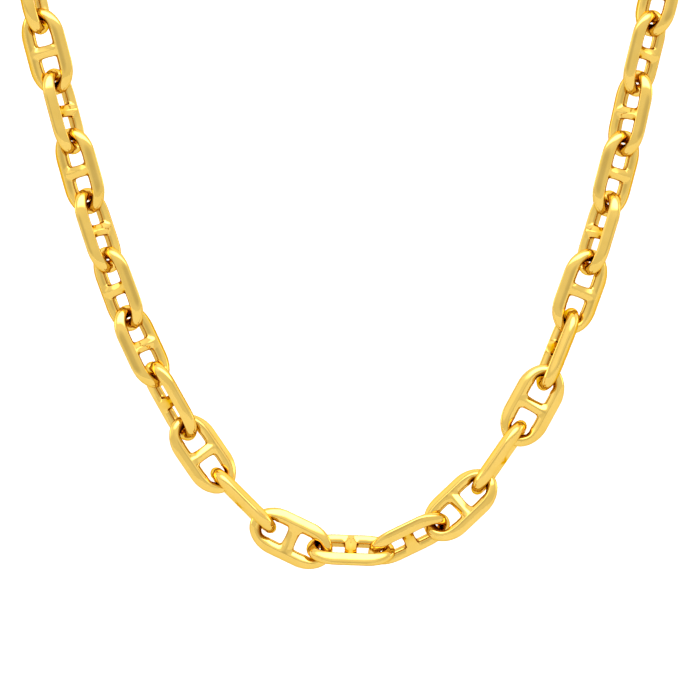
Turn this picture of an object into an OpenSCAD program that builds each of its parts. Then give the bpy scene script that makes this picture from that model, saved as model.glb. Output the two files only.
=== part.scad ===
// Mariner link chain, worn length: one closed loop of anchor links and a clasp.
// Every link has a crossbar, and each stands about a quarter turn from its neighbour.
// Millimetres, +Z up, +Y towards the back of the neck, origin at the neck's centre.

/* [Link] */
// Number of links, odd so that the quarter turns close round the clasp
link_count = 37; // [31:2:41]
// Outside length of a link
link_l = 17.2; // [15.5:0.1:20]
// Thickness of the two long sides, from corner to corner
side_d = 2.8; // [2.7:0.05:3.2]
// Thickness of the round ends
end_d = 2.5; // [2:0.05:2.6]
// Clearance on either side of a neighbour's end in the window
side_play = 0.65; // [0.5:0.05:0.9]
// Share of each half side that tapers down to the end
taper_share = 0.45; // [0.3:0.05:0.8]
// Depth that the outer bevels cut below the round of the ends
outer_bevel = 0.15; // [0.05:0.01:0.2]
// Share of the side's swell that the inner bevels cut away
inner_bevel = 0.85; // [0.5:0.05:0.9]
// Thickness of the crossbar at its middle
bar_d = 2.2; // [1.6:0.05:2.4]
// Thickness of the crossbar at its roots
bar_root_d = 2.6; // [2.45:0.05:2.65]
// Share of the window's width over which the crossbar is straight
bar_straight_share = 0.5; // [0.3:0.05:0.8]

/* [Clasp] */
// Thickness of the clasp's loop
hook_d = 2.4; // [2:0.05:2.6]
// Thickness of the gate that closes the loop
gate_d = 2; // [1.6:0.05:2.3]
// Clearance on either side of a link's end in the loop
hook_play = 0.8; // [0.6:0.05:1.2]
// Length of the loop between the centres of its two bends
hook_reach = 5; // [4.5:0.1:7]
// Bend at the narrow end of the loop, as a share of the wide bend
narrow_share = 0.62; // [0.5:0.02:0.8]
// Thickness of the eye at the tail
eye_d = 1.8; // [1.4:0.05:2]
// Clearance on either side of a link's end in the eye
eye_play = 0.35; // [0.3:0.05:0.6]
// Distance from the loop's centre line to the eye's where they are fused
eye_set = 0.8; // [0.5:0.05:1]
// Thickness of the thumb tab
tab_d = 1.5; // [1.2:0.05:1.8]
// Width of the thumb tab across the gate
tab_w = 2.6; // [2:0.1:3.2]

/* [Wear] */
// Clearance between two pieces where they bear on each other
joint_gap = 0.2; // [0.15:0.05:0.3]
// Lean of the chest that the front of the chain follows, from upright
chest_tilt = 25; // [10:1:35]

/* [Hidden] */
$fn = 64;
gold_tone = [0.88, 0.71, 0.33];
// The clasp's bends end inside its thicker flank, past their tangent points
lap_step = 0.02;
lap_angle = 3;

// Columns of the route: across to the right, up the chest, off the chest
// towards the nape, and the turn of the odd links about the chain's line.
ACROSS = 0;
UP = 1;
OFF = 2;
TURN = 3;

// Points that the chain's line passes, from the nape down the left strand,
// along the bottom, and up the right strand to the nape again.
ROUTE = [
    [0, 35, 34.5, 90],
    [-20, 34, 33, 80],
    [-38, 31, 28, 68],
    [-52, 25.5, 19.5, 54],
    [-60.5, 16.5, 9, 42],
    [-63, 6, 2, 30],
    [-61.5, -2, 0, 21],
    [-55.5, -26, 0, 31],
    [-48.5, -50.5, 0, 38],
    [-40, -73, 0, 48],
    [-28, -94, 0, 72],
    [-21, -103, 0, 84],
    [-11.5, -110, 0, 102],
    [-1, -113, 0, 120],
    [10.5, -111.5, 0, 138],
    [20, -105, 0, 157],
    [34.5, -86, 0, 182],
    [44, -64, 0, 204],
    [51.5, -40, 0, 219],
    [57, -16, 0, 228],
    [61, 0, 0, 232],
    [62, 10, 4, 236],
    [58, 19, 12, 242],
    [49, 27, 22, 250],
    [35, 32, 30, 258],
    [18, 34.5, 34, 265],
    [0, 35, 34.5, 270]
];

// Link sizes that follow from the ones above
end_r = end_d / 2;
side_r = side_d / 2;
window_w = end_d + 2 * side_play;
bend_r = (window_w + side_d) / 2;
half_side = (link_l - end_d) / 2 - bend_r;
taper_l = taper_share * half_side;
outer_flat = end_r - outer_bevel;
inner_flat = side_r - inner_bevel * (side_r - end_r);

// Clasp sizes that follow from the ones above
hook_r = hook_d / 2;
eye_r = eye_d / 2;
hook_bend_r = end_r + hook_play + hook_r;
narrow_bend_r = narrow_share * hook_bend_r;
eye_bend_r = end_r + eye_play + eye_r;
eye_reach = narrow_bend_r + eye_set + eye_bend_r;
flank_angle = asin((hook_bend_r - narrow_bend_r) / hook_reach);
flank_l = hook_reach * cos(flank_angle);
gate_lap = (hook_r - gate_d / 2) / 2;

// The chest's own directions
across_dir = [1, 0, 0];
up_dir = [0, sin(chest_tilt), cos(chest_tilt)];
off_dir = [0, cos(chest_tilt), -sin(chest_tilt)];

function unit(v) = v / norm(v);
function sum_of(list) = [for (entry = list) 1] * list;
function wrapped(value, period) = ((value % period) + period) % period;

// Smooth closed line through the route's points: a cubic between each two
// points, whose heading at a point is weighed by the chords on either side.
SPANS = len(ROUTE) - 1;
FINE_STEPS = 12;
function stop(i) =
    let (row = ROUTE[(i + SPANS) % SPANS])
    row[ACROSS] * across_dir + row[UP] * up_dir + row[OFF] * off_dir;
function chord(i) = norm(stop(i + 1) - stop(i));
function heading(i) =
    let (ahead = chord(i), behind = chord(i - 1))
    ((stop(i + 1) - stop(i)) * behind / ahead + (stop(i) - stop(i - 1)) * ahead / behind)
    / (ahead + behind);
function on_span(i, u) =
    (2 * pow(u, 3) - 3 * pow(u, 2) + 1) * stop(i)
    + (pow(u, 3) - 2 * pow(u, 2) + u) * chord(i) * heading(i)
    + (3 * pow(u, 2) - 2 * pow(u, 3)) * stop(i + 1)
    + (pow(u, 3) - pow(u, 2)) * chord(i) * heading(i + 1);
line_points = [
    for (i = [0:SPANS - 1]) for (k = [0:FINE_STEPS - 1]) on_span(i, k / FINE_STEPS),
    stop(0)
];
line_turns = [
    for (i = [0:SPANS - 1]) for (k = [0:FINE_STEPS - 1])
        ROUTE[i][TURN] + (ROUTE[i + 1][TURN] - ROUTE[i][TURN]) * k / FINE_STEPS,
    ROUTE[SPANS][TURN]
];
line_run = [
    for (i = 0, run = 0; i < len(line_points);
        run = run + (i + 1 < len(line_points) ? norm(line_points[i + 1] - line_points[i]) : 0),
        i = i + 1) run
];
line_l = line_run[len(line_run) - 1];
line_tables = [
    for (axis = [0:2]) [for (i = [0:len(line_run) - 1]) [line_run[i], line_points[i][axis]]]
];
turn_table = [for (i = [0:len(line_run) - 1]) [line_run[i], line_turns[i]]];

// Piece 0 is the clasp and pieces 1 to link_count are the links. Each piece has
// a bend at its front, towards the next piece, and one at its back.
PIECES = link_count + 1;
function front_reach(i) = i == 0 ? eye_reach : half_side;
function back_reach(i) = i == 0 ? hook_reach : half_side;
function front_bend(i) = i == 0 ? eye_bend_r : bend_r;
function back_bend(i) = i == 0 ? hook_bend_r : bend_r;
function front_r(i) = i == 0 ? eye_r : end_r;
function back_r(i) = i == 0 ? hook_r : end_r;
function next(i) = (i + 1) % PIECES;

// Distance between the bend centres of two pieces that hold each other
function hold(i) =
    front_bend(i) + back_bend(next(i)) - front_r(i) - back_r(next(i)) - joint_gap;
function pitch(i) = front_reach(i) + hold(i) + back_reach(next(i));
stations = [for (i = 0, run = 0; i < PIECES; run = run + pitch(i), i = i + 1) run];
loop_l = stations[PIECES - 1] + pitch(PIECES - 1);
loop_scale = loop_l / line_l;

// Place and turn at a length along the loop, which keeps the route's form
function on_line(run) =
    let (at = wrapped(run, loop_l) / loop_scale)
    loop_scale * [for (axis = [0:2]) lookup(at, line_tables[axis])];
function turn_at(run) = lookup(wrapped(run, loop_l) / loop_scale, turn_table);

// Each piece points along the line, and even pieces stand a quarter turn on
axes = [
    for (run = stations) unit(on_line(run + half_side) - on_line(run - half_side))
];
sides = [
    for (i = [0:PIECES - 1])
        let (
            level = unit(cross(off_dir, axes[i])),
            roll = turn_at(stations[i]) - (i % 2 == 0 ? 90 : 0)
        )
        cos(roll) * level + sin(roll) * cross(axes[i], level)
];
normals = [for (i = [0:PIECES - 1]) cross(axes[i], sides[i])];

// Two pieces bear on each other along the line that their planes share
function shared(i) =
    let (both = cross(normals[i], normals[next(i)]))
    unit(both * axes[i] < 0 ? -both : both);
steps = [
    for (i = [0:PIECES - 1])
        front_reach(i) * axes[i] + hold(i) * shared(i) + back_reach(next(i)) * axes[next(i)]
];
drift = sum_of(steps) / PIECES;
chain = [
    for (i = 0, at = [0, 0, 0]; i < PIECES; at = at + steps[i] - drift, i = i + 1) at
];
shift = sum_of([for (i = [0:PIECES - 1]) on_line(stations[i]) - chain[i]]) / PIECES;

function link_name(i) = str("link_", i < 10 ? "0" : "", i);

// Puts a piece that is drawn along +Z, with its plane in XZ, at its place
module at_piece(i) {
    at = chain[i] + shift;
    multmatrix([
        for (row = [0:2]) [sides[i][row], normals[i][row], axes[i][row], at[row]]
    ])
        children();
}

// Round wire bent in the XZ plane, from one angle to another about +Y
module bend(radius, wire_r, from, to) {
    rotate([90, 0, 0])
        rotate([0, 0, from])
            rotate_extrude(angle = to - from)
                translate([radius, 0])
                    circle(r = wire_r);
}

// Long side: a round wire that tapers to its ends, with bevels on it
module side_wire() {
    straight_l = half_side - taper_l;
    square_w = 2 * inner_flat;
    intersection() {
        union() {
            cylinder(r = side_r, h = 2 * straight_l, center = true);
            for (flip = [0, 1])
                mirror([0, 0, flip])
                    translate([0, 0, straight_l])
                        cylinder(r1 = side_r, r2 = end_r, h = taper_l);
        }
        rotate([0, 0, 45])
            cube([square_w, square_w, 2 * half_side], center = true);
    }
}

// Crossbar: round at its middle and thicker towards the two sides
module crossbar() {
    straight_l = bar_straight_share * window_w / 2;
    rotate([0, 90, 0])
        union() {
            cylinder(r = bar_d / 2, h = 2 * straight_l, center = true);
            for (flip = [0, 1])
                mirror([0, 0, flip])
                    translate([0, 0, straight_l])
                        cylinder(
                            r1 = bar_d / 2,
                            r2 = bar_root_d / 2,
                            h = bend_r - straight_l
                        );
        }
}

// One link, bevelled outside by a prism whose corners lie past its two sides
module link() {
    prism_w = sqrt(2) * bend_r + 2 * outer_flat;
    color(gold_tone)
        intersection() {
            union() {
                for (side = [-1, 1])
                    translate([side * bend_r, 0, 0])
                        side_wire();
                translate([0, 0, half_side])
                    bend(bend_r, end_r, 0, 180);
                translate([0, 0, -half_side])
                    bend(bend_r, end_r, 180, 360);
                crossbar();
            }
            rotate([0, 0, 45])
                cube([prism_w, prism_w, 2 * link_l], center = true);
        }
}

// Straight flank of the clasp's loop, between its wide and its narrow bend,
// reaching past its ends into the bends by a lap
module flank(wire_r, side, lap) {
    mirror([side < 0 ? 1 : 0, 0, 0])
        rotate([0, -flank_angle, 0])
            translate([narrow_bend_r, 0, -flank_l - lap])
                cylinder(r = wire_r, h = flank_l + 2 * lap);
}

// Clasp: a loop that narrows towards its tail, a closed gate with a thumb tab,
// and an eye. The wide bend holds the last link and the eye the first one.
module clasp() {
    tab_x = narrow_bend_r / cos(flank_angle) + hook_r;
    color(gold_tone)
        union() {
            translate([0, 0, -hook_reach])
                bend(
                    hook_bend_r,
                    hook_r,
                    180 - flank_angle - lap_angle,
                    360 + flank_angle + lap_angle
                );
            bend(
                narrow_bend_r,
                hook_r,
                flank_angle - lap_angle,
                180 - flank_angle + lap_angle
            );
            flank(hook_r + lap_step, 1, 0);
            flank(gate_d / 2, -1, gate_lap);
            translate([-tab_x, 0, 0])
                rotate([90, 0, 0])
                    cylinder(r = tab_d / 2, h = tab_w, center = true);
            translate([0, 0, eye_reach])
                rotate([90, 0, 0])
                    rotate_extrude()
                        translate([eye_bend_r, 0])
                            circle(r = eye_r);
        }
}

for (i = [1:link_count]) at_piece(i) link();
at_piece(0) clasp();
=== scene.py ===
"""Mariner link chain necklace, dressed in polished gold over its fixed frame."""
import logging
import math
from collections.abc import Iterable
from dataclasses import dataclass, field
from enum import Enum, IntEnum

import bpy
import numpy as np
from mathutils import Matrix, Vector


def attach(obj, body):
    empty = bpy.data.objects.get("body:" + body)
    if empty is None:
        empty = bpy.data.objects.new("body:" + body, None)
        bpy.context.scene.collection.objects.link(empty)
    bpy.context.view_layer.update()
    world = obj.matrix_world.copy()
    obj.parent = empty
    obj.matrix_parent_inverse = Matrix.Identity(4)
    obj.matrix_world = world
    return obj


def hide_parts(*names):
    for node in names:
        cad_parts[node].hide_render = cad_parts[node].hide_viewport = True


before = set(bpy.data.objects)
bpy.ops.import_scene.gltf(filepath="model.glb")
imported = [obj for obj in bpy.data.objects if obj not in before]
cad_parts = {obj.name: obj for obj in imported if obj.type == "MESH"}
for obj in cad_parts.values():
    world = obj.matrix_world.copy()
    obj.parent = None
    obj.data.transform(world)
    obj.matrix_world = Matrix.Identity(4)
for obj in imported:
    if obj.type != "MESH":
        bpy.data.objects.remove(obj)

LOG = logging.getLogger("necklace")
MM = 0.001
FINE_STEPS = 2001
# Name of the point attribute that holds the painted shade in the links' windows and
# tips.
RECESS_SHADE = "recess_shade"
Array = np.ndarray
Colour = tuple[float, float, float, float]
Span = tuple[float, float]


class PieceName(Enum):
    """Stems of the names of the frame's nodes."""

    LINK = "link_"
    CLASP = "clasp"


class Side(IntEnum):
    """Sign of a link's long side on its x axis."""

    RIGHT = 1
    LEFT = -1


class MixSocket(IntEnum):
    """Places of a Mix node's sockets when it mixes colours."""

    FACTOR = 0
    FIRST = 6
    SECOND = 7
    RESULT = 2


# -------------------------------------------------------------------- formulas


def smooth_step(x: Array) -> Array:
    """Returns 3x^2 - 2x^3 of x held between 0 and 1."""
    x = np.clip(x, 0.0, 1.0)
    return x * x * (3.0 - 2.0 * x)


def between(ends: Span, share: Array) -> Array:
    """Returns the value that lies a share of the way from the first end."""
    return ends[0] + (ends[1] - ends[0]) * share


def walked(x: Array, y: Array) -> Array:
    """Returns the length walked along a line up to each of its points."""
    return np.concatenate([[0.0], np.cumsum(np.hypot(np.diff(x), np.diff(y)))])


# ---------------------------------------------------------------- node helpers


def add_node(tree: bpy.types.NodeTree, kind: str, **inputs: object) -> bpy.types.Node:
    """Adds a shader node and sets its sockets.

    Args:
        tree: Node tree that takes the node.
        kind: Blender's name of the node type.
        **inputs: Socket values, named as the sockets with "_" for a space.

    Returns:
        The new node.
    """
    node = tree.nodes.new(kind)
    for name, value in inputs.items():
        node.inputs[name.replace("_", " ")].default_value = value
    return node


def add_math(
    tree: bpy.types.NodeTree,
    operation: str,
    first: bpy.types.NodeSocket,
    second: bpy.types.NodeSocket | float,
) -> bpy.types.NodeSocket:
    """Adds a Math node over two values.

    Args:
        tree: Node tree that takes the node.
        operation: Blender's name of the operation.
        first: Socket of the first value.
        second: Socket of the second value, or a number.

    Returns:
        The socket of the result.
    """
    node = tree.nodes.new("ShaderNodeMath")
    node.operation = operation
    tree.links.new(first, node.inputs[0])
    if isinstance(second, float):
        node.inputs[1].default_value = second
    else:
        tree.links.new(second, node.inputs[1])
    return node.outputs["Value"]


def add_dot(
    tree: bpy.types.NodeTree, way: bpy.types.NodeSocket, axis: Vector
) -> bpy.types.NodeSocket:
    """Adds the dot product of a direction and a fixed axis.

    Args:
        tree: Node tree that takes the node.
        way: Socket of the direction.
        axis: The axis.

    Returns:
        The socket of the product.
    """
    node = tree.nodes.new("ShaderNodeVectorMath")
    node.operation = "DOT_PRODUCT"
    node.inputs[1].default_value = axis
    tree.links.new(way, node.inputs[0])
    return node.outputs["Value"]


def add_slope(
    tree: bpy.types.NodeTree, value: bpy.types.NodeSocket, start: Span, end: Span
) -> bpy.types.NodeSocket:
    """Adds a smooth step between two values.

    Args:
        tree: Node tree that takes the node.
        value: Socket of the value that goes in.
        start: Range of that value.
        end: Values that come out at the two ends of the range.

    Returns:
        The socket of the value that comes out.
    """
    slope = add_node(tree, "ShaderNodeMapRange", From_Min=start[0], From_Max=start[1])
    slope.interpolation_type = "SMOOTHSTEP"
    slope.inputs["To Min"].default_value = end[0]
    slope.inputs["To Max"].default_value = end[1]
    tree.links.new(value, slope.inputs["Value"])
    return slope.outputs["Result"]


# -------------------------------------------------------------------- finishes


@dataclass(frozen=True)
class PolishedGold:
    """Yellow gold, polished bright, with the faint waves that a buff leaves.

    Scales are in waves to the metre and heights are in metres.
    """

    name: str = "polished_gold"
    pale: Colour = (0.705, 0.478, 0.117, 1.0)
    deep: Colour = (0.665, 0.44, 0.095, 1.0)
    edge: Colour = (0.72, 0.44, 0.15, 1.0)
    # Colour that multiplies the gold as painted shade in the links' windows and at
    # their tips.
    shadow: Colour = (0.55, 0.38, 0.2, 1.0)
    noise_range: Span = (0.3, 0.7)
    tone_scale: float = 260.0
    tone_detail: float = 3.0
    buff_scale: float = 900.0
    buff_detail: float = 2.0
    buff_strength: float = 0.6
    buff_height: float = 0.000004
    hand_scale: float = 170.0
    hand_detail: float = 1.0
    hand_height: float = 0.00002
    gloss: Span = (0.035, 0.085)

    def build(self) -> bpy.types.Material:
        """Builds the gold from three noises on Object coordinates.

        One noise runs the colour from deep to pale. A fine one, the buff's,
        runs the roughness over the gloss and raises the finest waves, and a
        broad one raises those of the hand. In the windows and at the tips,
        by the piece's attribute for it, the colour is multiplied by the
        shadow colour: painted shade where the links shade each other. A
        piece without that attribute, as the clasp is, keeps its colour.

        Returns:
            The finished material.
        """
        gold = bpy.data.materials.new(self.name)
        gold.use_nodes = True
        tree = gold.node_tree
        tree.nodes.clear()
        link = tree.links.new
        low, high = self.noise_range
        place = add_node(tree, "ShaderNodeTexCoord").outputs["Object"]
        tone, buff, hand = (
            add_node(tree, "ShaderNodeTexNoise", Scale=scale, Detail=detail)
            for scale, detail in (
                (self.tone_scale, self.tone_detail),
                (self.buff_scale, self.buff_detail),
                (self.hand_scale, self.hand_detail),
            )
        )
        for noise in (tone, buff, hand):
            link(place, noise.inputs["Vector"])
        ramp = add_node(tree, "ShaderNodeValToRGB")
        stops = ramp.color_ramp.elements
        stops[0].position, stops[0].color = low, self.deep
        stops[1].position, stops[1].color = high, self.pale
        # Painted shade: the point attribute tells where the gold is darkened towards
        # the shadow colour.
        reach = tree.nodes.new("ShaderNodeAttribute")
        reach.attribute_name = RECESS_SHADE
        # Multiplies the gold by the shadow colour, as painted shade, where the
        # attribute says.
        paint_shade = tree.nodes.new("ShaderNodeMix")
        paint_shade.data_type, paint_shade.blend_type = "RGBA", "MULTIPLY"
        paint_shade.inputs[MixSocket.SECOND].default_value = self.shadow
        gloss = add_node(tree, "ShaderNodeMapRange", From_Min=low, From_Max=high)
        gloss.inputs["To Min"].default_value = self.gloss[0]
        gloss.inputs["To Max"].default_value = self.gloss[1]
        swells = add_node(tree, "ShaderNodeBump", Strength=1.0)
        swells.inputs["Distance"].default_value = self.hand_height
        waves = add_node(tree, "ShaderNodeBump", Strength=self.buff_strength)
        waves.inputs["Distance"].default_value = self.buff_height
        metal = add_node(tree, "ShaderNodeBsdfPrincipled", Metallic=1.0)
        metal.inputs["Specular Tint"].default_value = self.edge
        out = tree.nodes.new("ShaderNodeOutputMaterial")
        link(tone.outputs["Fac"], ramp.inputs["Fac"])
        link(reach.outputs["Fac"], paint_shade.inputs[MixSocket.FACTOR])
        link(ramp.outputs["Color"], paint_shade.inputs[MixSocket.FIRST])
        link(buff.outputs["Fac"], gloss.inputs["Value"])
        link(hand.outputs["Fac"], swells.inputs["Height"])
        link(swells.outputs["Normal"], waves.inputs["Normal"])
        link(buff.outputs["Fac"], waves.inputs["Height"])
        link(paint_shade.outputs[MixSocket.RESULT], metal.inputs["Base Color"])
        link(gloss.outputs["Result"], metal.inputs["Roughness"])
        link(waves.outputs["Normal"], metal.inputs["Normal"])
        link(metal.outputs["BSDF"], out.inputs["Surface"])
        return gold


@dataclass(frozen=True)
class WhiteCard:
    """Matt pale card of the studio's floor."""

    name: str = "white_card"
    shade: Colour = (0.6, 0.6, 0.6, 1.0)

    def build(self) -> bpy.types.Material:
        """Builds the card, plain and without gloss.

        Returns:
            The finished material.
        """
        card = bpy.data.materials.new(self.name)
        card.use_nodes = True
        matt = card.node_tree.nodes["Principled BSDF"]
        matt.inputs["Roughness"].default_value = 1.0
        matt.inputs["Specular IOR Level"].default_value = 0.0
        matt.inputs["Base Color"].default_value = self.shade
        return card


# ------------------------------------------------------------ the link's forms


@dataclass(frozen=True)
class Flats:
    """A pair of flats that meet in a ridge on one side of the wire.

    Their normals stand at the tilt, in degrees, from the line off the link's
    plane, and where they are whole they lie at the reach, in mm.
    """

    tilt: float
    reach: float


@dataclass
class WireSection:
    """Section of the ring's wire, in mm: a is outwards and b is off the plane.

    The wire is an oval with the semi-axes c and d, each given in the middle
    of a side and at a tip of the link. Four flats cut it, two on its outer
    side and two on its inner side. Along the bends the flats move out and
    leave it round, and its inner side is eased where the next link turns.
    """

    c_ends: Span = (1.42, 1.25)
    d_ends: Span = (1.46, 1.25)
    outer: Flats = Flats(36.5, 1.01)
    inner: Flats = Flats(35.5, 1.29)
    crown: float = 2.3
    flats_end: Span = (2.8, 7.3)
    run_out: float = 1.8
    relief: float = 0.39
    relief_middle: float = 5.8
    relief_reach: float = 1.9
    power: float = 30.0
    least: float = 1e-9
    evenness: float = 0.4

    def flat(
        self, a: Array, b: Array, c: Array, d: Array, flats: Flats, fade: Array
    ) -> Array:
        """Measures how far a point lies out to one pair of flats.

        The oval's half-chord on the flat narrows to a point as fade grows, and
        the flat's distance from the middle is the other leg of that triangle.
        Each flat is crowned: sideways it is an oval with the crown as its
        semi-axis, raised so that it still meets the ends of the chord.

        Args:
            a: Place towards the flats' side of the wire.
            b: Place off the link's plane.
            c: Semi-axis of the oval along a.
            d: Semi-axis of the oval along b.
            flats: The pair of flats.
            fade: 0 where the flats are whole, 1 where they have run out.

        Returns:
            The gauge of each point, 1 on the flat.
        """
        tilt = math.radians(flats.tilt)
        sine, cosine = math.sin(tilt), math.cos(tilt)
        whole = math.hypot(self.c_ends[0] * sine, self.d_ends[0] * cosine)
        chord = math.sqrt(whole**2 - flats.reach**2) * (1.0 - fade**self.run_out)
        rest = np.sqrt((c * sine) ** 2 + (d * cosine) ** 2 - chord**2)
        rest = rest * (1.0 + 0.5 * (chord / self.crown) ** 2)
        outwards = np.maximum((a * sine + np.abs(b) * cosine) / rest, 0.0)
        sideways = (a * cosine - np.abs(b) * sine) / self.crown
        return np.where(outwards > 0.0, np.hypot(outwards, sideways), 0.0)

    def gauge(self, a: Array, b: Array, along: Array) -> Array:
        """Measures how far out a point of the section lies; 1 is the surface.

        It is the p-norm, with p the power, of the oval's own norm and of the
        gauges of the two pairs of flats. On the inner side the semi-axis c is
        shorter by the relief, times a smooth step down from its middle.

        Args:
            a: Place outwards from the middle of the wire.
            b: Place off the link's plane.
            along: Height in the link, from its crossbar.

        Returns:
            The gauge of each point.
        """
        height = np.abs(along)
        start, end = self.flats_end
        fade = np.clip((height - start) / (end - start), 0.0, 1.0)
        c = between(self.c_ends, smooth_step(fade))
        d = between(self.d_ends, smooth_step(fade))
        past = np.abs(height - self.relief_middle) / self.relief_reach
        inner_c = c - self.relief * smooth_step(1.0 - past)
        oval = np.hypot(a / np.where(a < 0.0, inner_c, c), b / d)
        cut_out = self.flat(a, b, c, d, self.outer, fade)
        cut_in = self.flat(-a, b, c, d, self.inner, fade)
        largest = np.maximum(np.maximum(oval, cut_out), np.maximum(cut_in, self.least))
        total = sum((part / largest) ** self.power for part in (oval, cut_out, cut_in))
        return largest * total ** (1.0 / self.power)

    def angles(self, count: int) -> Array:
        """Spreads the points of a section, closer together round its ridges.

        Half the section is walked on a fine grid. A share of the points, the
        evenness, goes by the length walked and the rest by the angle turned,
        and the other half mirrors it.

        Args:
            count: Points of the whole section, an even number.

        Returns:
            The angles from the outward side, from 0 to just under a full turn.
        """
        fine = np.linspace(0.0, math.pi, FINE_STEPS)
        radius = 1.0 / self.gauge(np.cos(fine), np.sin(fine), np.zeros(fine.size))
        x, y = radius * np.cos(fine), radius * np.sin(fine)
        length = walked(x, y)
        heading = np.unwrap(np.arctan2(np.gradient(y), np.gradient(x)))
        turn = np.abs(np.gradient(heading))
        turned = np.concatenate([[0.0], np.cumsum(0.5 * (turn[1:] + turn[:-1]))])
        walk = self.evenness * length / length[-1]
        walk = walk + (1.0 - self.evenness) * turned / turned[-1]
        half = np.interp(np.linspace(0.0, 1.0, count // 2 + 1), walk, fine)
        return np.concatenate([half, 2.0 * math.pi - half[-2:0:-1]])


@dataclass
class OvalRoute:
    """Middle line of the ring, in mm: two straight sides and two oval ends."""

    half_width: float = 3.28
    straight: float = 2.7
    half_length: float = 7.35

    def end_length(self) -> float:
        """Returns how far the middle line reaches past its straight sides."""
        return self.half_length - self.straight

    def rings(self, count: int) -> tuple[Array, Array]:
        """Places the ring's sections evenly by length, from the middle of a side.

        A quarter of the route is the straight and then a quarter oval with
        the semi-axes half_width and end_length. It is walked on a fine grid
        and mirrored twice.

        Args:
            count: Number of sections round the ring, divisible by four.

        Returns:
            Points (count, 2) as x and z, and unit normals that point outwards.
        """
        turn = np.linspace(0.0, math.pi / 2.0, FINE_STEPS)
        end = self.end_length()
        x = np.concatenate([[self.half_width], self.half_width * np.cos(turn)])
        z = np.concatenate([[0.0], self.straight + end * np.sin(turn)])
        nx = np.concatenate([[1.0], np.cos(turn) * end])
        nz = np.concatenate([[0.0], np.sin(turn) * self.half_width])
        length = walked(x, z)
        at = np.linspace(0.0, length[-1], count // 4 + 1)
        quarter = np.stack([np.interp(at, length, v) for v in (x, z, nx, nz)], axis=1)
        quarter[:, 2:] /= np.linalg.norm(quarter[:, 2:], axis=1, keepdims=True)
        second = quarter[-2::-1] * np.array([-1.0, 1.0, -1.0, 1.0])
        half = np.concatenate([quarter, second])
        whole = np.concatenate([half, -half[1:-1]])
        return whole[:, :2], whole[:, 2:]


@dataclass
class Crossbar:
    """Bar between the link's two long sides, in mm.

    It is round, with two flats on the front and two on the back that meet in
    a soft ridge along its middle.
    """

    radius: float = 1.2
    half_length: float = 1.9
    flat: float = 1.03
    flat_tilt: float = 32.0
    ridge: float = 0.22
    softness: float = 0.02
    flare: float = 0.16
    rings: int = 26
    spread_run: float = 0.16
    lip_run: float = 0.12

    def distance(self, points: Array) -> Array:
        """Gives the signed distance to the bar, whose ends are round.

        It is the smooth maximum of the distances to the bar's round and to its
        flats. Both move out with the square of the place along the bar.

        Args:
            points: Points (n, 3) beside the bar.

        Returns:
            The distance of each point, negative inside.
        """
        x, y, z = np.abs(points).T
        grown = self.flare * np.minimum(x / self.half_length, 1.0) ** 2
        past = np.maximum(x - self.half_length, 0.0)
        tilt = math.radians(self.flat_tilt)
        flat = y * math.cos(tilt) + np.hypot(z, self.ridge) * math.sin(tilt)
        flat = flat - self.flat - grown
        rod = np.sqrt(y * y + z * z + past * past) - self.radius - grown
        return 0.5 * (rod + flat + np.hypot(rod - flat, self.softness))

    def loops(self, right: Array, left: Array) -> Array:
        """Lays rough loops round the bar from one end's edge to the other's.

        At each end a loop has the edge's own reach from the bar's middle line
        and its place along it. Away from the ends the reach falls to the bar's
        radius, and the place to an even spacing, as exp(-t / run), where t
        goes from 0 at an end to 1 in the middle.

        Args:
            right: Points (n, 3) of the edge on the side at +x.
            left: Points (n, 3) of the edge on the side at -x.

        Returns:
            Points ((rings - 1) * n, 3), loop by loop.
        """
        share = np.linspace(0.0, 1.0, self.rings + 1)[1:-1, None]
        inwards = np.minimum(share, 1.0 - share) * 2.0
        spoke = 0.5 * (right[:, 1:] + left[:, 1:])
        reach = np.linalg.norm(spoke, axis=1)
        spread = np.exp(-inwards / self.spread_run)
        radius = self.radius * (1.0 - spread) + spread * reach
        off = (spoke / reach[:, None])[None] * radius[:, :, None]
        lip = (np.abs(right[:, 0]) - self.half_length) * np.exp(-inwards / self.lip_run)
        x = (1.0 - 2.0 * share) * (self.half_length + lip)
        return np.concatenate([x[:, :, None], off], axis=2).reshape(-1, 3)


@dataclass
class RecessShade:
    """Painted shade in a link's windows and at its tips, in mm.

    Where it gives two values, the first is for the long sides and the second
    for the ends of the link.
    """

    end_start: float = 4.3
    end_run: float = 1.4
    depths: Span = (0.8, 1.5)
    depth_run: float = 0.55
    shares: Span = (0.5, 1.0)
    inward_run: float = 0.15

    def share(self, points: Array, route: OvalRoute) -> Array:
        """Tells how much painted shade each point takes.

        It is a smooth step inwards from the ring's middle line, times one from
        the faces of the link to its plane.

        Args:
            points: Points (n, 3) on the link.
            route: Middle line of the ring.

        Returns:
            The share of each point, 0 for no painted shade and 1 for full.
        """
        x, y, z = np.abs(points).T
        past = np.maximum(z - route.straight, 0.0) / route.end_length()
        oval = np.hypot(x / route.half_width, past)
        end = smooth_step((z - self.end_start) / self.end_run)
        inward = smooth_step((1.0 - oval) / self.inward_run)
        deep = smooth_step((between(self.depths, end) - y) / self.depth_run)
        return between(self.shares, end) * inward * deep


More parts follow.
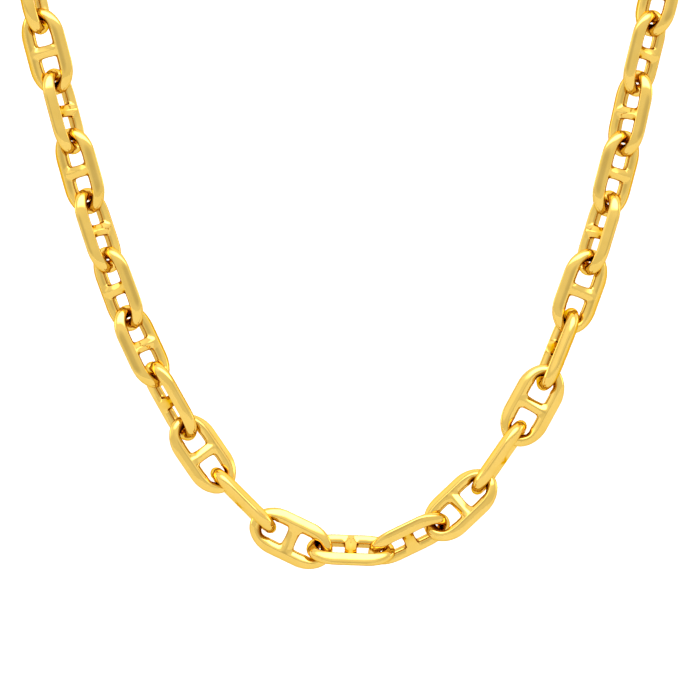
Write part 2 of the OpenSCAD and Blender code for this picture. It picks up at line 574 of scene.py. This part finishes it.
@dataclass
class LinkForm:
    """One link, made once as a single closed surface, in mm.

    Its frame is x across, y off its plane and z along it. The ring is a
    section carried along the oval route. On the inner side of each long side a
    patch of the ring is left out, and the crossbar's own grid closes on the
    patch's edge. The points near the bar settle on the smooth union of both.
    """

    section: WireSection = field(default_factory=WireSection)
    route: OvalRoute = field(default_factory=OvalRoute)
    bar: Crossbar = field(default_factory=Crossbar)
    around: int = 144
    across: int = 64
    patch_along: int = 6
    patch_across: int = 10
    fillet: float = 0.5
    probe: float = 1e-4
    damping: float = 0.9
    least_slope: float = 0.05

    def ring_grid(self) -> Array:
        """Carries the section along the route.

        Each point is the route's point, plus r cos t along its outward normal
        and r sin t off the plane, where r is 1 over the gauge at angle t.

        Returns:
            Points (around * across, 3), section by section.
        """
        middle, outward = self.route.rings(self.around)
        angle = self.section.angles(self.across)
        a, b = np.cos(angle)[None, :], np.sin(angle)[None, :]
        radius = 1.0 / self.section.gauge(a, b, middle[:, 1:2])
        x = middle[:, 0:1] + outward[:, 0:1] * radius * a
        z = middle[:, 1:2] + outward[:, 1:2] * radius * a
        return np.stack([x, radius * b, z], axis=2).reshape(-1, 3)

    def ring_faces(self) -> Array:
        """Lists the ring's faces, less the two patches that the bar covers.

        Returns:
            Faces (n, 4) by index into the ring grid.
        """
        i, j = np.meshgrid(
            np.arange(self.around), np.arange(self.across), indexing="ij"
        )
        i2, j2 = (i + 1) % self.around, (j + 1) % self.across
        corners = ((i, j), (i, j2), (i2, j2), (i2, j))
        faces = np.stack([row * self.across + at for row, at in corners], axis=2)
        beside = (i + self.patch_along) % (self.around // 2) < 2 * self.patch_along
        inside = np.abs(j + 0.5 - self.across // 2) < self.patch_across
        return faces[~(beside & inside)]

    def patch_edge(self, side: Side) -> Array:
        """Lists the ring's grid points on the edge of one side's patch.

        Both sides give the same round: front to back below the bar, up, back
        to front above the bar, and down.

        Args:
            side: The long side that has the patch.

        Returns:
            Indices into the ring grid.
        """
        centre = 0 if side is Side.RIGHT else self.around // 2
        up = self.patch_along * side
        along = np.arange(-self.patch_along, self.patch_along) * side
        across = np.arange(-self.patch_across, self.patch_across)
        back = self.patch_across
        i = np.concatenate(
            [np.full(across.size, -up), along, np.full(across.size, up), -along]
        )
        j = np.concatenate(
            [across, np.full(along.size, back), -across, np.full(along.size, -back)]
        )
        return ((centre + i) % self.around) * self.across + self.across // 2 + j

    def surface(self, points: Array) -> Array:
        """Gives a signed distance, near the crossbar, to the link's surface.

        It is the smooth minimum, over the width of the fillet, of the ring's
        gauge less 1, in mm, and of the distance to the bar.

        Args:
            points: Points (n, 3) beside the crossbar.

        Returns:
            The distance of each point, negative inside.
        """
        x, y, z = points.T
        outward = np.abs(x) - self.route.half_width
        ring = (self.section.gauge(outward, y, z) - 1.0) * self.section.c_ends[0]
        rod = self.bar.distance(points)
        share = np.clip(0.5 + 0.5 * (rod - ring) / self.fillet, 0.0, 1.0)
        mixed = rod * (1.0 - share) + ring * share
        return mixed - self.fillet * share * (1.0 - share)

    def settle(self, points: Array, steps: int = 12) -> Array:
        """Moves points along the distance's gradient until they lie on it.

        Args:
            points: Points (n, 3) near the surface.
            steps: Number of Newton steps.

        Returns:
            The moved points.
        """
        for _ in range(steps):
            rises = [
                self.surface(points + axis) - self.surface(points - axis)
                for axis in np.eye(3) * self.probe
            ]
            slope = np.stack(rises, axis=1) / (2.0 * self.probe)
            size = np.maximum((slope**2).sum(axis=1), self.least_slope)
            move = self.damping * (self.surface(points) / size)
            points = points - move[:, None] * slope
        return points

    def build(self) -> tuple[Array, Array]:
        """Builds the link's points and its four-sided faces.

        Returns:
            Points (n, 3) in mm and faces (m, 4) that point outwards.
        """
        grid = self.ring_grid()
        near = np.abs(grid[:, 2]) < self.route.straight
        grid[near] = self.settle(grid[near])
        right, left = self.patch_edge(Side.RIGHT), self.patch_edge(Side.LEFT)
        bar = self.settle(self.bar.loops(grid[right], grid[left]))
        body = grid.shape[0] + np.arange(bar.shape[0]).reshape(-1, right.size)
        loops = np.concatenate([right[None], body, left[None]])
        ahead = np.roll(loops, -1, axis=1)
        bar_faces = np.stack([loops[:-1], ahead[:-1], ahead[1:], loops[1:]], axis=2)
        faces = np.concatenate([self.ring_faces(), bar_faces.reshape(-1, 4)])
        used, packed = np.unique(faces, return_inverse=True)
        return np.concatenate([grid, bar])[used], packed.reshape(-1, 4)


# ----------------------------------------------------------------- sub-assemblies


@dataclass
class Pose:
    """Place of a node: its middle and its axes, as columns, in metres."""

    middle: Array
    axes: Array

    @classmethod
    def of_node(cls, node: bpy.types.Object) -> "Pose":
        """Finds a solid's pose from its volume.

        The solid is a sum of signed tetrahedra between the origin and each
        triangle. A tetrahedron's middle is its corners' sum over 4, and its
        second moment is its volume times (the sum of each corner by itself,
        plus the corners' sum by itself) over 20. They give the middle and the
        three principal axes, the longest being z and the thinnest y.

        Args:
            node: Frame object of a closed solid.

        Returns:
            The pose.
        """
        mesh = node.data
        mesh.calc_loop_triangles()
        points = np.empty(len(mesh.vertices) * 3, np.float32)
        mesh.vertices.foreach_get("co", points)
        corners = np.empty(len(mesh.loop_triangles) * 3, np.int32)
        mesh.loop_triangles.foreach_get("vertices", corners)
        tri = points.reshape(-1, 3).astype(float)[corners.reshape(-1, 3)]
        shift = tri.reshape(-1, 3).mean(axis=0)
        tri = tri - shift
        volume = np.einsum("ij,ij->i", tri[:, 0], np.cross(tri[:, 1], tri[:, 2])) / 6.0
        total = volume.sum()
        corner_sum = tri.sum(axis=1)
        middle = (volume[:, None] * corner_sum / 4.0).sum(axis=0) / total
        spread = np.einsum("t,tci,tcj->ij", volume, tri, tri)
        spread += np.einsum("t,ti,tj->ij", volume, corner_sum, corner_sum)
        spread = spread / (20.0 * total) - np.outer(middle, middle)
        axes = np.linalg.eigh(spread)[1][:, [1, 0, 2]]
        if np.linalg.det(axes) < 0.0:
            axes[:, 1] *= -1.0
        return cls(middle + shift, axes)

    def place(self, points: Array) -> Array:
        """Returns points given in the piece's own frame, in mm, at their place."""
        return self.middle + (points * MM) @ self.axes.T


def show(name: str, mesh: bpy.types.Mesh) -> bpy.types.Object:
    """Returns a new object of the mesh, at the origin and in the scene."""
    piece = bpy.data.objects.new(name, mesh)
    bpy.context.scene.collection.objects.link(piece)
    return piece


def make_piece(
    name: str, points: Array, faces: Array, finish: bpy.types.Material
) -> bpy.types.Object:
    """Makes a smooth-shaded object from arrays.

    Args:
        name: Name of the object.
        points: Points (n, 3) in metres.
        faces: Faces (m, 4) by index, pointing outwards.
        finish: Material of the piece.

    Returns:
        The object, in the scene.
    """
    mesh = bpy.data.meshes.new(name)
    mesh.from_pydata(points.tolist(), [], faces.tolist())
    mesh.shade_smooth()
    mesh.materials.append(finish)
    return show(name, mesh)


def copy_piece(pattern: bpy.types.Object, name: str, points: Array) -> bpy.types.Object:
    """Makes a piece with another one's faces, finish and attributes.

    Args:
        pattern: The other piece.
        name: Name of the new object.
        points: Its own points (n, 3) in metres.

    Returns:
        The object, in the scene.
    """
    mesh = pattern.data.copy()
    mesh.name = name
    mesh.vertices.foreach_set("co", points.astype(np.float32).ravel())
    mesh.update()
    return show(name, mesh)


@dataclass
class Chain:
    """The run of equal links, each set where its solid lies."""

    form: LinkForm = field(default_factory=LinkForm)
    # Painted shade in the windows and at the tips of the links.
    recess_shade: RecessShade = field(default_factory=RecessShade)

    def names(self) -> list[str]:
        """Returns the names of the frame's links, in order."""
        return sorted(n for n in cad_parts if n.startswith(PieceName.LINK.value))

    def build(self, finish: bpy.types.Material) -> list[bpy.types.Object]:
        """Builds every link from the one form.

        Args:
            finish: Material of the links.

        Returns:
            The links, in order.
        """
        points, faces = self.form.build()
        # Painted shade: how much each point is darkened in the windows and at the tips.
        recess_shade_share = self.recess_shade.share(points, self.form.route)
        pieces: list[bpy.types.Object] = []
        for name in self.names():
            placed = Pose.of_node(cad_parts[name]).place(points)
            if pieces:
                piece = copy_piece(pieces[0], "polished_" + name, placed)
            else:
                piece = make_piece("polished_" + name, placed, faces, finish)
                # The painted shade's share goes on the piece as a point attribute.
                shares = piece.data.attributes.new(RECESS_SHADE, "FLOAT", "POINT")
                shares.data.foreach_set("value", recess_shade_share.astype(np.float32))
            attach(piece, "root")
            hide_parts(name)
            pieces.append(piece)
        return pieces


@dataclass
class Clasp:
    """The plain clasp at the nape, which keeps its own solid."""

    name: PieceName = PieceName.CLASP

    def build(self, finish: bpy.types.Material) -> bpy.types.Object:
        """Dresses the clasp's solid.

        Args:
            finish: Material of the clasp.

        Returns:
            The frame's own object.
        """
        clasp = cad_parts[self.name.value]
        clasp.data.materials.clear()
        clasp.data.materials.append(finish)
        return clasp


# ----------------------------------------------------------------------- studio


@dataclass(frozen=True)
class SoftLamp:
    """One soft oval light, far away.

    Its direction is given across, up and towards the camera, and its half
    sizes across and up are in degrees. Its glow is its radiance, which fades
    out over the edge, given as shares of the half size.
    """

    way: tuple[float, float, float]
    half: Span
    glow: float
    edge: Span = (0.75, 1.15)


@dataclass
class Studio:
    """Camera, floor and soft surroundings, in metres, degrees and radiance.

    The surroundings are brighter overhead and behind the chain, and a patch
    of them round the camera is a little darker, by which polished metal shows
    its forms. They hold the lamps too.
    """

    aim: tuple[float, float, float] = (0.0002, -0.0312, -0.0670)
    elevation: float = 25.0
    distance: float = 0.95
    view_width: float = 0.1358
    sensor_width: float = 36.0
    view_end: float = 50.0
    floor_z: float = -0.22
    floor_size: float = 12.0
    horizon_light: float = 1.12
    top_light: float = 1.4
    top_range: Span = (0.3, 1.0)
    back_light: float = 1.5
    back_range: Span = (-0.5, 0.2)
    patch_light: float = 0.76
    patch_angles: Span = (3.0, 20.0)
    lamps: tuple[SoftLamp, ...] = (
        SoftLamp((0.05, 0.81, 0.58), (44.0, 21.0), 4.0),
        SoftLamp((-0.84, 0.40, 0.36), (14.0, 18.0), 0.3),
        SoftLamp((0.95, 0.00, -0.31), (16.0, 26.0), 1.7),
        SoftLamp((-0.95, 0.00, -0.31), (16.0, 26.0), 1.7),
    )

    def toward_camera(self) -> Vector:
        """Returns the unit vector from the aim to the camera."""
        lift = math.radians(self.elevation)
        return Vector((0.0, -math.cos(lift), math.sin(lift)))

    def add_camera(self) -> None:
        """Sets the camera square to the plane in which the chain hangs."""
        data = bpy.data.cameras.new("view")
        data.sensor_width = self.sensor_width
        data.lens = data.sensor_width * self.distance / self.view_width
        data.clip_end = self.view_end
        camera = bpy.data.objects.new("view", data)
        camera.location = Vector(self.aim) + self.toward_camera() * self.distance
        camera.rotation_euler = self.toward_camera().to_track_quat("Z", "Y").to_euler()
        bpy.context.scene.collection.objects.link(camera)
        bpy.context.scene.camera = camera

    def add_floor(self) -> None:
        """Lays the plain floor, a square well under the chain."""
        corners = np.array([[-1, -1, 0], [1, -1, 0], [1, 1, 0], [-1, 1, 0]], float)
        corners = corners * (self.floor_size / 2.0)
        corners[:, 2] = self.floor_z
        faces = np.array([[0, 1, 2, 3]])
        floor = make_piece("studio_floor", corners, faces, WhiteCard().build())

    def add_surroundings(self) -> None:
        """Lights the room.

        The radiance is a smooth step of the direction's height, times a smooth
        step from the far side to the near one, times one that turns it down in
        a cone round the camera, plus the lamps.
        """
        world = bpy.data.worlds.new("soft_room")
        world.use_nodes = True
        tree = world.node_tree
        tree.nodes.clear()
        way = add_node(tree, "ShaderNodeTexCoord").outputs["Generated"]
        height = add_dot(tree, way, Vector((0.0, 0.0, 1.0)))
        facing = add_dot(tree, way, self.toward_camera())
        inner, outer = (math.cos(math.radians(angle)) for angle in self.patch_angles)
        ends = (self.horizon_light, self.top_light)
        rise = add_slope(tree, height, self.top_range, ends)
        turn = add_slope(tree, facing, self.back_range, (self.back_light, 1.0))
        cone = add_slope(tree, facing, (outer, inner), (1.0, self.patch_light))
        light = add_math(tree, "MULTIPLY", rise, add_math(tree, "MULTIPLY", turn, cone))
        for lamp in self.lamps:
            light = add_math(tree, "ADD", light, self.add_glow(tree, way, lamp))
        back = add_node(tree, "ShaderNodeBackground", Color=(1.0, 1.0, 1.0, 1.0))
        out = tree.nodes.new("ShaderNodeOutputWorld")
        tree.links.new(light, back.inputs["Strength"])
        tree.links.new(back.outputs["Background"], out.inputs["Surface"])
        bpy.context.scene.world = world

    def add_glow(
        self, tree: bpy.types.NodeTree, way: bpy.types.NodeSocket, lamp: SoftLamp
    ) -> bpy.types.NodeSocket:
        """Adds one soft light to the room.

        A direction's parts across and up from the light's middle are divided
        by the sines of its half sizes. The light fades by a smooth step of the
        length of that pair, and there is none on the room's other half.

        Args:
            tree: The world's node tree.
            way: Socket of the direction.
            lamp: Direction, size and glow of the light.

        Returns:
            The socket with the light's radiance.
        """
        lift = math.radians(self.elevation)
        rise = Vector((0.0, math.sin(lift), math.cos(lift)))
        toward = Vector((lamp.way[0], 0.0, 0.0)) + rise * lamp.way[1]
        toward = (toward + self.toward_camera() * lamp.way[2]).normalized()
        across = rise.cross(toward).normalized()
        wide, high = (math.sin(math.radians(half)) for half in lamp.half)
        off = tree.nodes.new("ShaderNodeCombineXYZ")
        tree.links.new(add_dot(tree, way, across / wide), off.inputs["X"])
        tree.links.new(add_dot(tree, way, toward.cross(across) / high), off.inputs["Y"])
        length = tree.nodes.new("ShaderNodeVectorMath")
        length.operation = "LENGTH"
        tree.links.new(off.outputs["Vector"], length.inputs[0])
        fade = add_slope(tree, length.outputs["Value"], lamp.edge, (lamp.glow, 0.0))
        near = add_math(tree, "GREATER_THAN", add_dot(tree, way, toward), 0.0)
        return add_math(tree, "MULTIPLY", near, fade)

    def build(self) -> None:
        """Sets up the whole studio."""
        self.add_camera()
        self.add_floor()
        self.add_surroundings()
        bpy.context.scene.view_settings.view_transform = "Standard"


def main() -> None:
    """Dresses the necklace and sets up its studio."""
    logging.basicConfig(level=logging.INFO, format="%(name)s: %(message)s")
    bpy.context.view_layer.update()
    Studio().build()
    gold = PolishedGold().build()
    for piece in Chain().build(gold):
        LOG.info("%s: %d faces", piece.name, len(piece.data.polygons))
    clasp = Clasp().build(gold)
    LOG.info("%s: the frame's own solid", clasp.name)


if __name__ == "__main__":
    main()
